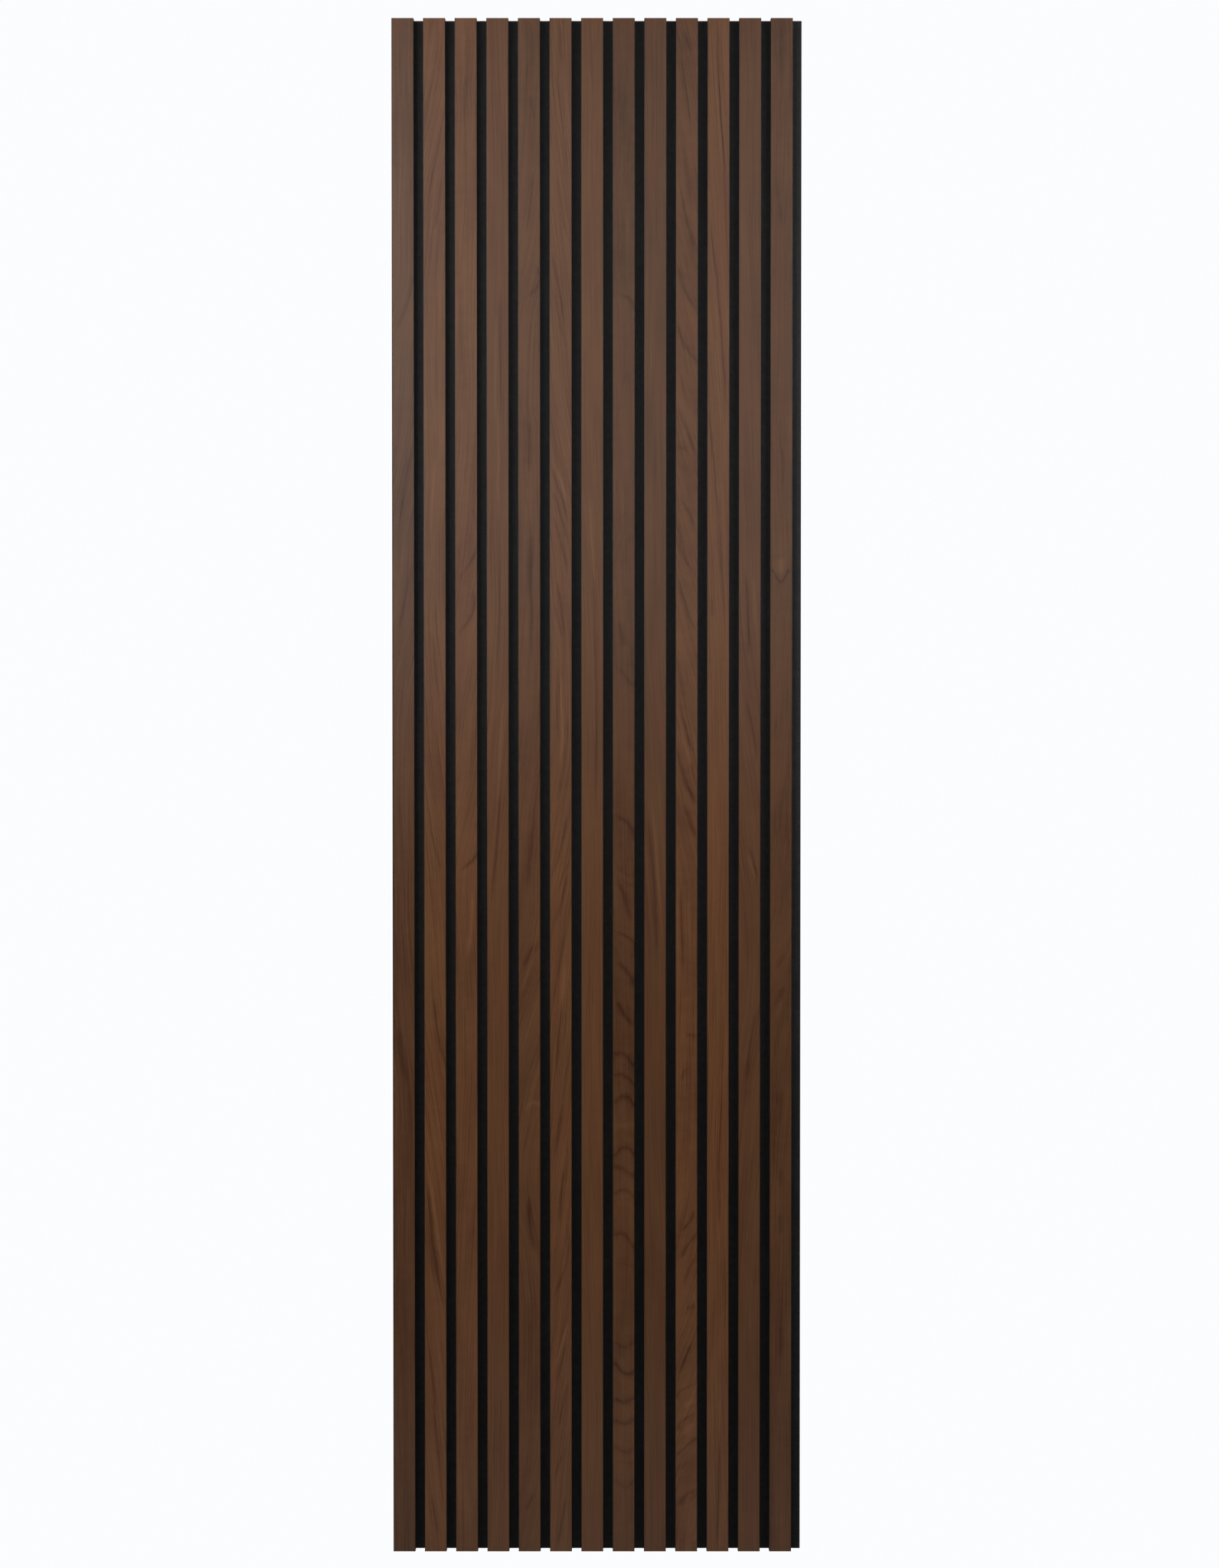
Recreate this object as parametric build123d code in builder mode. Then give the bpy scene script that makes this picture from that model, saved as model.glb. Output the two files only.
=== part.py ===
from build123d import *
import os

os.makedirs("parts", exist_ok=True)

# Driving dimensions, in millimetres
panel_length = 1950.0
slat_count = 13
slat_pitch = 40.0
slat_width = 28.0
core_thickness = 11.4
veneer_thickness = 0.6
arris_bevel = 0.3
felt_thickness = 9.0

# Fine-wire staples, driven from the back through the felt into the slats
staple_rows = 6
end_to_first_row = 50.0
crown_width = 12.8
leg_length = 16.0
wire_width = 0.95
wire_thickness = 0.65
shoulder_bevel = 0.35
point_length = 0.8
crown_sink = 0.4

# Places that follow from them: the felt's back lies on Y = 0 and the slats face -Y
panel_width = slat_count * slat_pitch
felt_front = -felt_thickness
core_front = felt_front - core_thickness
panel_bottom = Plane.XY.offset(-panel_length / 2)
slat_centres = [slat_pitch * index + (slat_width - panel_width) / 2 for index in range(slat_count)]
row_spacing = (panel_length - 2 * end_to_first_row) / (staple_rows - 1)
row_heights = [row_spacing * (index - (staple_rows - 1) / 2) for index in range(staple_rows)]


def staple_places(centres):
    """One place for each staple behind the slats whose centre lines are given."""
    return [(slat_x, 0, row_z) for slat_x in centres for row_z in row_heights]


# One staple: a U of flat wire with bevelled shoulders and chisel points
half_crown = crown_width / 2
crown_flat = crown_width - 2 * shoulder_bevel
crown_back = -crown_sink
crown_front = crown_back - wire_thickness
point_tip = crown_back - leg_length
point_shoulder = point_tip + point_length
leg_inside = half_crown - wire_thickness
leg_middle = half_crown - wire_thickness / 2
with BuildPart() as staple:
    with BuildSketch(Plane.XY.offset(-wire_width / 2)) as staple_outline:
        with BuildLine():
            Polyline(
                (0, crown_back),
                (half_crown, crown_back),
                (half_crown, point_shoulder),
                (leg_middle, point_tip),
                (leg_inside, point_shoulder),
                (leg_inside, crown_front),
                (0, crown_front),
                close=True,
            )
        make_face()
        mirror(about=Plane.YZ)
        shoulders = staple_outline.vertices().group_by(Axis.Y)[-1]
        chamfer(shoulders, length=shoulder_bevel)
    extrude(amount=wire_width)

# The whole set, a staple in each row behind each slat
with BuildPart() as staples:
    with Locations(*staple_places(slat_centres)):
        add(staple.part)
staples.part.label = "staples"
export_step(staples.part, "parts/staples.step")

# Felt backing: one needle-felt sheet, which closes round each staple and dips above its crown
with BuildPart() as felt_backing:
    with BuildSketch(Plane.XZ):
        Rectangle(panel_width, panel_length)
    extrude(amount=felt_thickness)
    with BuildSketch(Plane.XZ):
        with Locations(*[(slat_x, row_z) for slat_x, _, row_z in staple_places(slat_centres)]):
            Rectangle(crown_flat, wire_width)
    extrude(amount=crown_sink, mode=Mode.SUBTRACT)
    with Locations(*staple_places(slat_centres)):
        add(staple.part, mode=Mode.SUBTRACT)
felt_backing.part.label = "felt_backing"
export_step(felt_backing.part, "parts/felt_backing.step")

# Slats: a black fibreboard core, and a wood veneer on its face with the long front edges broken
for number, slat_x in enumerate(slat_centres, start=1):
    with BuildPart() as slat_core:
        with BuildSketch(panel_bottom):
            with Locations((slat_x, felt_front - core_thickness / 2)):
                Rectangle(slat_width, core_thickness)
        extrude(amount=panel_length)
        with Locations(*staple_places([slat_x])):
            add(staple.part, mode=Mode.SUBTRACT)
    slat_core.part.label = f"slat_core_{number:02d}"
    export_step(slat_core.part, f"parts/{slat_core.part.label}.step")

    with BuildPart() as veneer:
        with BuildSketch(panel_bottom) as veneer_section:
            with Locations((slat_x, core_front - veneer_thickness / 2)):
                Rectangle(slat_width, veneer_thickness)
            front_corners = veneer_section.vertices().group_by(Axis.Y)[0]
            chamfer(front_corners, length=arris_bevel)
        extrude(amount=panel_length)
    veneer.part.label = f"veneer_{number:02d}"
    export_step(veneer.part, f"parts/{veneer.part.label}.step")
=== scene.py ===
import math

import bpy
import numpy as np
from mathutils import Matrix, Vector


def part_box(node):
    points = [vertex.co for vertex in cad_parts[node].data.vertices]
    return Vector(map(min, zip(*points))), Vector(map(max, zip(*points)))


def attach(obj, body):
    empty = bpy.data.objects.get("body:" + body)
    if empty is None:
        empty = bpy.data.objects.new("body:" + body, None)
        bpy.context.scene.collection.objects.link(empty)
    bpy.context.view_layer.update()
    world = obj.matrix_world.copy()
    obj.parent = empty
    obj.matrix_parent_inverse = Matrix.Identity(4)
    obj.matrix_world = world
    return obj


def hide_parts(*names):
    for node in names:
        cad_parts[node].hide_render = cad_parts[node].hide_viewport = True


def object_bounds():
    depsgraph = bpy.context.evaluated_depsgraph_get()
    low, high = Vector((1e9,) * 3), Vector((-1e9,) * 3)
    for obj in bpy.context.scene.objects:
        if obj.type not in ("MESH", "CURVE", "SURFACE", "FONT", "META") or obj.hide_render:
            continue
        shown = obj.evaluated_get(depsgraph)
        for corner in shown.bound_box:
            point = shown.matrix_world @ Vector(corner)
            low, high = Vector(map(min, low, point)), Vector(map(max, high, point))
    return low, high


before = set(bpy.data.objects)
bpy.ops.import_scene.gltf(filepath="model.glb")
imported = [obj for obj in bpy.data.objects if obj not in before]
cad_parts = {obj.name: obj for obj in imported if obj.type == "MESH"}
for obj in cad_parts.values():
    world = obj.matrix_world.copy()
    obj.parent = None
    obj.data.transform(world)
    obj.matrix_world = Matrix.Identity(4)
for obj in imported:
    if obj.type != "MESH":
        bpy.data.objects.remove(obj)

CAD_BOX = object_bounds()
MM = 0.001
BODY = "root"

# Camera: the photo's frame, its scale on the slat faces, and where the camera stood
PHOTO_HEIGHT = 2048
PHOTO_PIXELS_PER_METRE = 1027.4
CAMERA_DISTANCE = 2.95
CAMERA_RIGHT = 0.016
CAMERA_UP = 0.053
CAMERA_AIM_UP = 0.006
SENSOR = 36.0

# Stage
FLOOR_DROP = 0.40
FLOOR_HALF = 8.0
FLOOR_COLOUR = (0.66, 0.66, 0.67, 1.0)
BACKGROUND_COLOUR = (0.972, 0.978, 0.992, 1.0)
FLOOR_WHITE_NEAR = 0.80
FLOOR_WHITE_FAR = 1.0
FLOOR_REACH = (0.5, 1.3)
FLOOR_BEHIND = (0.0, 0.8)
WORLD_BEHIND = (0.0, 0.4)
WORLD_LEVEL = 0.03

# Studio lamps: two beside the camera, a big one behind and above it, and two for the panel's back
LAMPS = [
    ("left_box", (-1.33, -2.15, 0.92), (0, 0, 0.25), 1.2, 1.5, 29, 140),
    ("right_box", (1.60, -2.1, 0.92), (0, 0, 0.25), 1.2, 1.5, 34.5, 140),
    ("front_box", (0.0, -3.4, 1.20), (0, 0, 0.4), 2.1, 2.1, 10.0, 140),
    ("rear_left_box", (-1.6, 2.4, 1.2), (0, 0, 0), 1.2, 1.6, 30, 180),
    ("rear_right_box", (1.6, 2.4, 1.2), (0, 0, 0), 1.2, 1.6, 30, 180),
]

# Veneer meshes: rows along the slat, folded into side-by-side strips when the surface is laid flat
VENEER_STRIPS = 8
ROWS_PER_STRIP = 49
VENEER_COLUMNS = 12
ARRIS = 0.3 * MM
ARRIS_STEPS = 3
ARRIS_HOLD = 0.15 * MM
VENEER_SHEET = 256 * MM
VENEER_MARGIN = 1.5 * MM
VENEER_BACK_WIDTH = 2 * MM
SHARP_ANGLE = math.radians(50)

# Felt mesh: how far it dips round a staple's crown, bulges in the gaps and rounds at its edges
STAPLE_ROWS = 6
STAPLE_END_DISTANCE = 50 * MM
STAPLE_HALF_CROWN = 6.4 * MM
SLAT_HALF_WIDTH = 14 * MM
FELT_DIMPLE = 0.9 * MM
FELT_DIMPLE_REACH = 5.0 * MM
FELT_DIMPLE_POWER = 1.4
FELT_DIMPLE_FALL = 2.2
FELT_BULGE = 0.3 * MM
FELT_BULGE_REACH = 6 * MM
FELT_UNEVEN = 0.10 * MM
FELT_WAVES_ACROSS = (0.031, 0.11)
FELT_WAVES_ALONG = (0.043, 0.07)
FELT_EDGE_ROUND = 0.5 * MM
FELT_EDGE_REACH = 1.0 * MM

# Felt grid: its rows, and the lines close to each staple and gap, as distances in millimetres
FELT_ROWS = 66
FELT_HELD_ROWS = 4
FELT_LEAST_STEP = 0.2 * MM
STAPLE_CLEARANCE = 12 * MM
ROWS_BY_STAPLE = (0, 0.7, 1.5, 2.6, 4.2, 7)
COLUMNS_BY_STAPLE = (0, 3, 5, 6, 7, 8.5, 11)
COLUMNS_BY_GAP = (-14, 14, 17, 20, 23, 26)

# Wood: the plain colour of the stained veneer, and the shades that its grain runs through
WOOD_COLOUR = (0.0753, 0.0319, 0.0131)
WOOD_SHADES = [
    (0.0, (0.36, 0.30, 0.32)),
    (0.30, (0.71, 0.66, 0.67)),
    (0.55, (1.0, 1.0, 1.0)),
    (0.80, (1.25, 1.28, 1.30)),
    (1.0, (1.48, 1.56, 1.60)),
]
WOOD_ROUGHNESS = 0.27
WOOD_SPECULAR = 0.26

# Each slat is a slice of a log. pith, depth and lean are (height, value) points, heights in
# millimetres from the panel's middle. lean above 0 carries the grain to the left going up. pith is
# the log's centre line across the slat, depth is how far that line lies below the face, ring is the
# width of a year's ring, and follow is how much the rings lean with the grain. tone and warmth shift
# the colour, and fall is how much darker the slat is at its foot than at its top. rings, lines,
# blotch and curl are the strengths of the rings, the fine lines and the soft patches. Strokes are
# single marks: points (height, across), half width, and strength, which is below 0 in a light mark.
SLATS = [
    dict(
        tone=0.88, warmth=-0.08, fall=0.16, ring=4.2, follow=1, rings=0.6, lines=1.1, blotch=0.8, curl=0.5,
        pith=[160], depth=[60],
        lean=[
            (975, 0.0), (680, -0.02), (610, -0.3), (540, -0.04), (380, -0.24), (300, -0.06),
            (170, -0.22), (60, -0.02), (-330, 0.1), (-450, 0.0), (-975, 0.02),
        ],
        strokes=[
            ([(760, -13.7), (-1100, -13.7)], 0.5, 2.2),
            ([(655, 11.9), (611, 4.6), (585, -6.8)], 0.9, 1),
            ([(433, 10.7), (391, 2.9), (342, -4.4)], 1.3, 0.9),
            ([(283, 10.7), (248, 3.9), (202, -5.4)], 1.2, 0.9),
            ([(-307, -7.3), (-343, -2.9), (-375, 3.9)], 2.6, 0.9),
        ],
    ),
    dict(
        tone=1.18, warmth=0.07, fall=0.05, ring=2.7, follow=1, rings=1, lines=1.0, blotch=0.8, curl=0.5,
        pith=[190], depth=[90],
        lean=[
            (975, -0.1), (820, -0.2), (700, -0.08), (560, 0.02), (330, -0.03), (150, 0.08), (0, 0.14),
            (-200, 0.06), (-330, 0.14), (-440, 0.16), (-620, 0.12), (-975, 0.1),
        ],
        strokes=[
            ([(968, 4.9), (913, 1.9), (874, -7.3)], 0.7, 0.7),
            ([(832, 9.3), (793, 1.9), (751, -6.8)], 0.6, 1),
            ([(767, 7.8), (734, 4.9), (712, 1)], 0.7, 0.8),
            ([(416, 1.5), (365, -3.9), (319, -4.4)], 1, -0.8),
            ([(235, 0.5), (202, 2.4), (170, 5.4)], 0.7, 0.6),
            ([(196, -3.4), (157, 0), (121, 4.4)], 0.7, 0.8),
            ([(-51, -4.9), (-73, 0.5), (-99, 6.8)], 0.7, 0.7),
            ([(-268, -1.9), (-310, 3.4), (-352, 12.2)], 0.9, 0.9),
            ([(-511, -8.8), (-589, -2.4), (-661, 9.7)], 1.2, 1.1),
            ([(-485, -7.3), (-547, 0), (-628, 10.7)], 1.1, -1.1),
            ([(-709, -6.8), (-787, -1.5), (-894, 9.7)], 0.9, 1),
            ([(-904, -5.4), (-953, 3.9)], 0.8, 0.7),
        ],
    ),
    dict(
        tone=1.13, warmth=0.03, fall=0.07, ring=3.6, follow=1, rings=0.8, lines=0.55, blotch=1, curl=0.7,
        pith=[-150], depth=[70],
        lean=[
            (975, 0.0), (700, -0.03), (500, 0.0), (330, -0.12), (200, -0.18), (80, -0.1), (-60, -0.24),
            (-160, 0.1), (-330, -0.02), (-600, -0.06), (-975, 0.0),
        ],
        strokes=[
            ([(974, 1.9), (900, 1.5), (845, -1.2)], 1.3, 0.7), ([(962, -2.2), (890, -2.4)], 0.9, -0.7),
            ([(470, 12.7), (400, 11), (345, 8.5)], 0.9, 0.7),
            ([(352, 9.3), (287, 5.4), (270, -6.8)], 0.9, 0.9),
            ([(248, 8.3), (215, 3.9), (199, -8.3)], 1.1, 1),
            ([(-44, 12.2), (-93, 5.4), (-105, -9.7)], 1.5, 1.2),
            ([(-129, 7.3), (-174, 6.3), (-213, 1.9)], 1.3, -1.1),
        ],
    ),
    dict(
        tone=1.05, warmth=0.02, fall=0, ring=3, follow=1, rings=0.8, lines=0.6, blotch=0.5, curl=0.3,
        pith=[230], depth=[60],
        lean=[
            (975, 0.03), (500, 0.0), (300, 0.02), (130, -0.09), (-80, -0.1), (-200, 0.0), (-600, 0.01),
            (-975, -0.03),
        ],
        strokes=[
            ([(624, 3.9), (472, 4.4)], 1.2, 0.8), ([(605, -2.7), (472, -2.9)], 1.2, -0.8),
            ([(488, 0), (342, 1)], 0.8, -0.9), ([(306, 3.9), (228, 1.9), (111, -1.9)], 0.9, 0.8),
            ([(111, 6.8), (40, 2.4), (-15, -0.5)], 0.8, -0.8),
            ([(-2, 3.4), (-64, -0.5), (-135, -7.8)], 0.7, 0.9),
        ],
    ),
    dict(
        tone=0.95, warmth=-0.03, fall=0, ring=4.6, follow=1, rings=0.7, lines=0.4, blotch=1.1, curl=0.7,
        pith=[-90], depth=[80],
        lean=[
            (975, 0.05), (780, -0.12), (660, -0.22), (520, 0.02), (340, 0.0), (160, -0.06),
            (40, -0.16), (-120, -0.02), (-240, -0.36), (-420, -0.22), (-560, 0.2), (-700, 0.0),
            (-975, -0.16),
        ],
        strokes=[
            ([(877, 1), (848, 7.3)], 1.2, 0.5), ([(780, 4.9), (747, 2.4), (708, -1.9)], 1.8, 0.7),
            ([(650, 13.6), (664, 6.3), (621, -5.4)], 1.5, 0.8), ([(465, 1), (403, 0.5)], 1.2, 0.7),
            ([(335, 1.9), (254, 2.2), (170, 2.9)], 1.4, 1.1),
            ([(-35, 8.8), (-86, 2.4), (-125, -1.9)], 2.2, 0.7),
            ([(-196, 8.3), (-206, 1.9), (-227, -5.8)], 1.4, 0.8),
            ([(-206, 10.7), (-226, 1.5), (-258, -9.3)], 1.2, -0.8),
            ([(-408, -3.9), (-400, 2.9), (-401, 10.2)], 1.4, -0.8),
            ([(-521, 0), (-550, -0.5), (-589, 7.3)], 1.5, 1.1),
            ([(-901, 4.4), (-923, -4.4)], 1.1, 0.9),
        ],
    ),
    dict(
        tone=1.13, warmth=0, fall=0.04, ring=2.2, follow=1, rings=1.1, lines=1.1, blotch=0.5, curl=0.3,
        pith=[260], depth=[70],
        lean=[
            (975, 0.06), (760, 0.13), (560, 0.1), (400, 0.18), (240, 0.1), (120, 0.0), (-10, -0.2),
            (-160, -0.14), (-300, -0.08), (-520, -0.12), (-680, -0.16), (-975, -0.06),
        ],
        strokes=[
            ([(910, -8.3), (845, 1.5), (786, 8.8)], 0.8, 0.9),
            ([(897, -5.8), (851, 0), (806, 6.8)], 0.7, -0.7), ([(968, -1), (916, 1)], 0.7, 0.7),
            ([(780, -4.9), (728, 1.9), (702, 6.3)], 0.8, 0.8),
            ([(676, -10.7), (634, -1.9), (588, 4.4)], 0.9, 1), ([(631, -8.3), (569, 2.9)], 0.7, 0.8),
            ([(407, -10.5), (374, 0), (342, 9.3)], 0.9, 1.1),
            ([(374, -8.3), (339, 1.9), (313, 9.3)], 0.7, 1), ([(407, -4.9), (365, 8.8)], 0.8, -0.8),
            ([(342, -7.8), (306, 1.9), (277, 8.8)], 0.7, 0.8),
            ([(264, -4.9), (232, 0), (196, 3.9)], 0.7, 0.9), ([(235, -8.3), (193, 1)], 0.7, 0.7),
            ([(147, -0.5), (99, 1.5), (27, -0.5)], 0.7, -0.9), ([(150, -3.9), (60, -3.9)], 0.7, 0.7),
            ([(92, 8.8), (24, 2.9), (-18, -4.4)], 0.8, 0.8), ([(73, 6.3), (4, -0.5)], 0.8, -0.7),
            ([(-35, 6.3), (-80, -1), (-109, -9.7)], 0.8, 0.9), ([(-93, 9.7), (-132, -4.9)], 0.7, 0.7),
            ([(-109, 8.8), (-151, -1), (-171, -6.8)], 0.8, 0.9),
            ([(-177, 6.3), (-219, -1), (-275, -9.7)], 0.8, 0.8),
            ([(-223, 6.3), (-288, 1.5)], 0.8, -0.8),
            ([(-265, 2.9), (-307, -1.5), (-356, -5.4)], 1.1, 1.1),
            ([(-404, 2.9), (-440, -3.4), (-469, -6.8)], 0.9, 0.7),
            ([(-450, 8.8), (-502, 5.8)], 0.8, 0.8), ([(-485, 3.9), (-554, -1.9)], 0.8, 1),
            ([(-560, 8.8), (-622, 1.9), (-648, -9.7)], 0.9, 0.9),
            ([(-683, 8.8), (-713, 0), (-745, -9.7)], 0.9, -0.9),
            ([(-706, 6.8), (-739, -1), (-758, -4.4)], 0.8, 0.9),
            ([(-761, 8.8), (-790, 1.9), (-813, -1)], 0.9, 1.1),
            ([(-849, 1.9), (-881, -8.3)], 0.8, 0.7), ([(-904, 6.8), (-943, 0), (-969, -4.9)], 0.9, 1),
        ],
    ),
    dict(
        tone=1.05, warmth=0.01, fall=0, ring=3.1, follow=1, rings=0.7, lines=0.28, blotch=0.5, curl=0.3,
        pith=[-240], depth=[60],
        lean=[(975, 0.0), (520, 0.0), (340, 0.1), (200, 0.02), (-300, 0.0), (-600, 0.05), (-975, 0.0)],
        strokes=[
            ([(365, -2.9), (313, -0.5), (261, 3.9)], 0.9, -0.8),
            ([(287, 0), (196, 3.9), (-18, 3.9)], 1, 0.9),
        ],
    ),
    dict(
        tone=0.82, warmth=0.03, fall=-0.17, ring=3, follow=0.2, rings=0.5, lines=0.14, blotch=1.3, curl=1,
        pith=[(975, 30), (0, 18), (-300, 12), (-460, 0), (-975, -2)],
        depth=[
            (975, 70), (650, 67), (560, 72), (200, 66), (20, 68), (-320, 104), (-660, 70), (-860, 92),
            (-975, 96),
        ],
        lean=[(975, 0.0), (640, 0.02), (200, 0.03), (0, 0.02), (-300, 0.03), (-500, 0.0), (-975, 0.0)],
        strokes=[
            ([(630, -8.3), (625, 1.5), (605, 12.2)], 1.8, 0.85),
            ([(212, -6.8), (196, -2.9), (180, -0.5)], 1.6, 0.85),
            ([(154, -5.8), (143, 1.9), (130, 10.7)], 1.8, 0.59),
            ([(-33, -9.3), (-40, 0.5), (-66, 11.7)], 2, 1.02),
            ([(-116, -7.8), (-138, 1), (-169, 10.2)], 1.4, 0.85),
            ([(-181, -10.7), (-186, -0.5), (-216, 11.7)], 1.8, 1.02),
            ([(-221, -7.3), (-231, 2.9), (-254, 12.7)], 1.6, 0.85),
            ([(-270, -8.3), (-287, 0.5), (-301, 11.7)], 1.5, 0.94),
            ([(-338, -8.8), (-338, 1), (-351, 11.7)], 1.6, 0.85),
            ([(-365, -8.8), (-367, 1.9), (-377, 12.7)], 1.5, 0.94),
            ([(-399, -9.3), (-392, 1.9), (-402, 11.7)], 1.6, 0.94),
            ([(-429, -7.3), (-428, 11.2)], 1.8, -0.59),
            ([(-467, -9.7), (-457, 1), (-465, 11.7)], 1.5, 1.02),
            ([(-482, -9.7), (-485, 0.5), (-493, 10.2)], 1.9, 0.85),
            ([(-516, -8.8), (-511, 1.5), (-520, 11.7)], 1.5, 0.94),
            ([(-568, -8.3), (-569, 0.5), (-585, 12.7)], 2, 1.1),
            ([(-605, -8.3), (-607, 2.9), (-644, 10.2)], 1.8, 0.85),
            ([(-707, -9.3), (-713, 0), (-706, 11.7)], 1.5, 0.6),
            ([(-733, -9.3), (-744, -1.5), (-745, 12.7)], 1.9, 1.3),
            ([(-780, -8.3), (-783, 1), (-779, 11.7)], 1.8, 1.1),
            ([(-807, -9.3), (-811, 1), (-805, 11.7)], 1.9, 1.0),
            ([(-840, -9.3), (-848, 1), (-843, 11.7)], 2, 0.8),
            ([(-860, -7.3), (-862, 10.2)], 1.5, 0.5),
            ([(-884, -8.3), (-893, 1), (-885, 11.7)], 2, 0.6),
        ],
    ),
    dict(
        tone=0.88, warmth=-0.03, fall=-0.05, ring=3.8, follow=1, rings=0.5, lines=0.3, blotch=0.7, curl=0.3,
        pith=[260], depth=[50],
        lean=[(975, 0.0), (300, 0.0), (60, 0.07), (-160, 0.08), (-300, 0.0), (-560, 0.05), (-975, 0.0)],
        strokes=[
            ([(-12, -4.4), (-103, 2.9), (-213, 8.8)], 0.9, -1),
            ([(-35, -7.8), (-129, -1), (-210, 3.9)], 1.2, 0.9),
        ],
    ),
    dict(
        tone=1.04, warmth=0.06, fall=-0.15, ring=3.8, follow=1, rings=0.8, lines=0.5, blotch=1.2, curl=1,
        pith=[120], depth=[75],
        lean=[
            (975, 0.2), (860, 0.12), (740, 0.16), (650, 0.32), (560, 0.2), (440, 0.28), (250, 0.26),
            (80, 0.22), (-60, 0.24), (-180, 0.0), (-420, -0.02), (-560, -0.26), (-760, -0.42),
            (-880, -0.34), (-975, -0.05),
        ],
        strokes=[
            ([(923, -7.3), (874, 0), (835, 6.3)], 1, 0.8), ([(958, -2.4), (929, 5.4)], 1.2, 0.7),
            ([(812, -4.4), (773, 1), (728, 6.3)], 1, 0.7),
            ([(757, -7.8), (725, -0.5), (679, 11.7)], 1.2, 1),
            ([(666, -11.7), (632, -2.4), (605, 12.7)], 1.9, 1.1),
            ([(588, -10.7), (562, -1.9), (540, 12.7)], 1.1, 1), ([(524, -7.3), (494, -1.5)], 1.1, 0.7),
            ([(485, -10.7), (459, -1.5), (426, 10.7)], 1, 1.1),
            ([(368, -7.3), (356, 0), (335, 7.8)], 1.1, 0.9),
            ([(319, -9.3), (291, -1.9), (277, 6.8)], 1, 0.8),
            ([(264, -9.3), (228, 0.5), (199, 11.7)], 1.1, 1),
            ([(111, -9.3), (69, 0.5), (40, 10.2)], 1, 0.9),
            ([(56, -11.7), (11, -1.9), (-18, 11.7)], 1.5, 1.0), ([(69, -7.3), (27, 7.8)], 1, -0.6),
            ([(-22, -2.4), (-41, 4.9), (-62, 11.7)], 1.2, 0.8), ([(4, 0), (-20, 10.2)], 1.2, 0.6),
            ([(-119, -7.8), (-161, -6.3), (-232, -4.9)], 1.1, 1),
            ([(-313, 2.4), (-315, 11.7)], 1, 0.7), ([(-372, -6.8), (-356, -1)], 1.1, 0.7),
            ([(-537, 9.3), (-556, 1.5), (-565, -7.3)], 1, 1),
            ([(-569, 11.7), (-583, 1.5), (-598, -5.8)], 1.1, 1.1),
            ([(-599, 10.2), (-620, 1.5), (-633, -2.4)], 1, 1), ([(-663, 2.4), (-660, 9.7)], 2, 1),
            ([(-707, 7.8), (-726, -1), (-747, -8.3)], 1, 0.8),
            ([(-761, 8.8), (-765, -0.5), (-783, -6.8)], 1.2, 1.1),
            ([(-798, 8.8), (-803, 0.5), (-822, -8.3)], 1.6, 1.2),
            ([(-831, 10.2), (-839, 1), (-850, -9.3)], 1.2, 1), ([(-781, 9.7), (-787, 0)], 1.8, -0.8),
            ([(-810, 5.8), (-826, -2.9)], 1.5, -0.8), ([(-857, 1.9), (-870, -6.8)], 1.2, 0.7),
            ([(-896, 10.2), (-900, 2.9), (-916, -4.9)], 2, 1),
        ],
    ),
    dict(
        tone=1.17, warmth=0.09, fall=0, ring=2.9, follow=1, rings=0.9, lines=0.95, blotch=0.4, curl=0.2,
        pith=[-280], depth=[60],
        lean=[
            (975, 0.04), (760, 0.09), (560, 0.07), (420, 0.06), (240, 0.03), (0, 0.0), (-400, -0.01),
            (-975, 0.02),
        ],
        strokes=[
            ([(974, -2.9), (867, 1.9), (708, 11.7)], 0.7, 1.2),
            ([(725, -11.2), (647, -1.9), (475, 8.8)], 0.7, 1.1),
            ([(475, -11.7), (410, -5.4), (345, 0)], 0.7, 1.2),
            ([(345, 0), (280, 4.4), (202, 8.8)], 0.8, 0.7), ([(241, -8.3), (219, -6.8)], 1, 0.7),
            ([(-382, 4.9), (-447, 2.4), (-508, 1.5)], 0.8, 1.1),
            ([(-498, 1.5), (-557, 1.5)], 0.8, 0.8),
            ([(-823, 2.4), (-894, 1.5), (-975, -0.5)], 0.9, 1.1),
        ],
    ),
    dict(
        tone=0.9, warmth=-0.05, fall=0, ring=3.9, follow=1, rings=0.6, lines=0.2, blotch=0.8, curl=0.5,
        pith=[210], depth=[60],
        lean=[
            (975, 0.0), (500, 0.03), (260, 0.06), (80, 0.16), (-90, 0.14), (-200, 0.0), (-300, -0.16),
            (-470, -0.1), (-700, 0.0), (-975, 0.03),
        ],
        strokes=[
            ([(277, -6.8), (241, -2.9), (170, -2.4)], 1.1, 1), ([(267, 4.4), (209, 6.3)], 1, -0.7),
            ([(111, -4.4), (79, 3.9), (37, 8.8)], 0.9, 0.9),
            ([(-73, -1.9), (-96, 5.4), (-116, 10.2)], 1, 0.9), ([(-86, -1.9), (-114, 6.8)], 0.8, -0.8),
            ([(-278, 11.2), (-314, 3.4), (-369, -1.9)], 1.4, 0.8), ([(-339, 1.5), (-404, -6.8)], 2, 0.5),
        ],
    ),
    dict(
        tone=0.83, warmth=-0.04, fall=0.05, ring=3.9, follow=0.5, rings=0.7, lines=0.35, blotch=1.2, curl=0.8,
        pith=[(975, -70), (400, -60), (200, -60), (-200, -40), (-975, -60)],
        depth=[(975, 66), (400, 70), (285, 60), (150, 72), (-200, 84), (-500, 70), (-975, 64)],
        lean=[
            (975, 0.04), (780, -0.05), (560, -0.02), (440, 0.05), (250, 0.0), (-60, -0.12),
            (-220, -0.3), (-340, -0.14), (-560, 0.0), (-975, 0.02),
        ],
        strokes=[
            ([(971, -1), (926, -1.5), (874, -2.9)], 1.4, 0.4),
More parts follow.
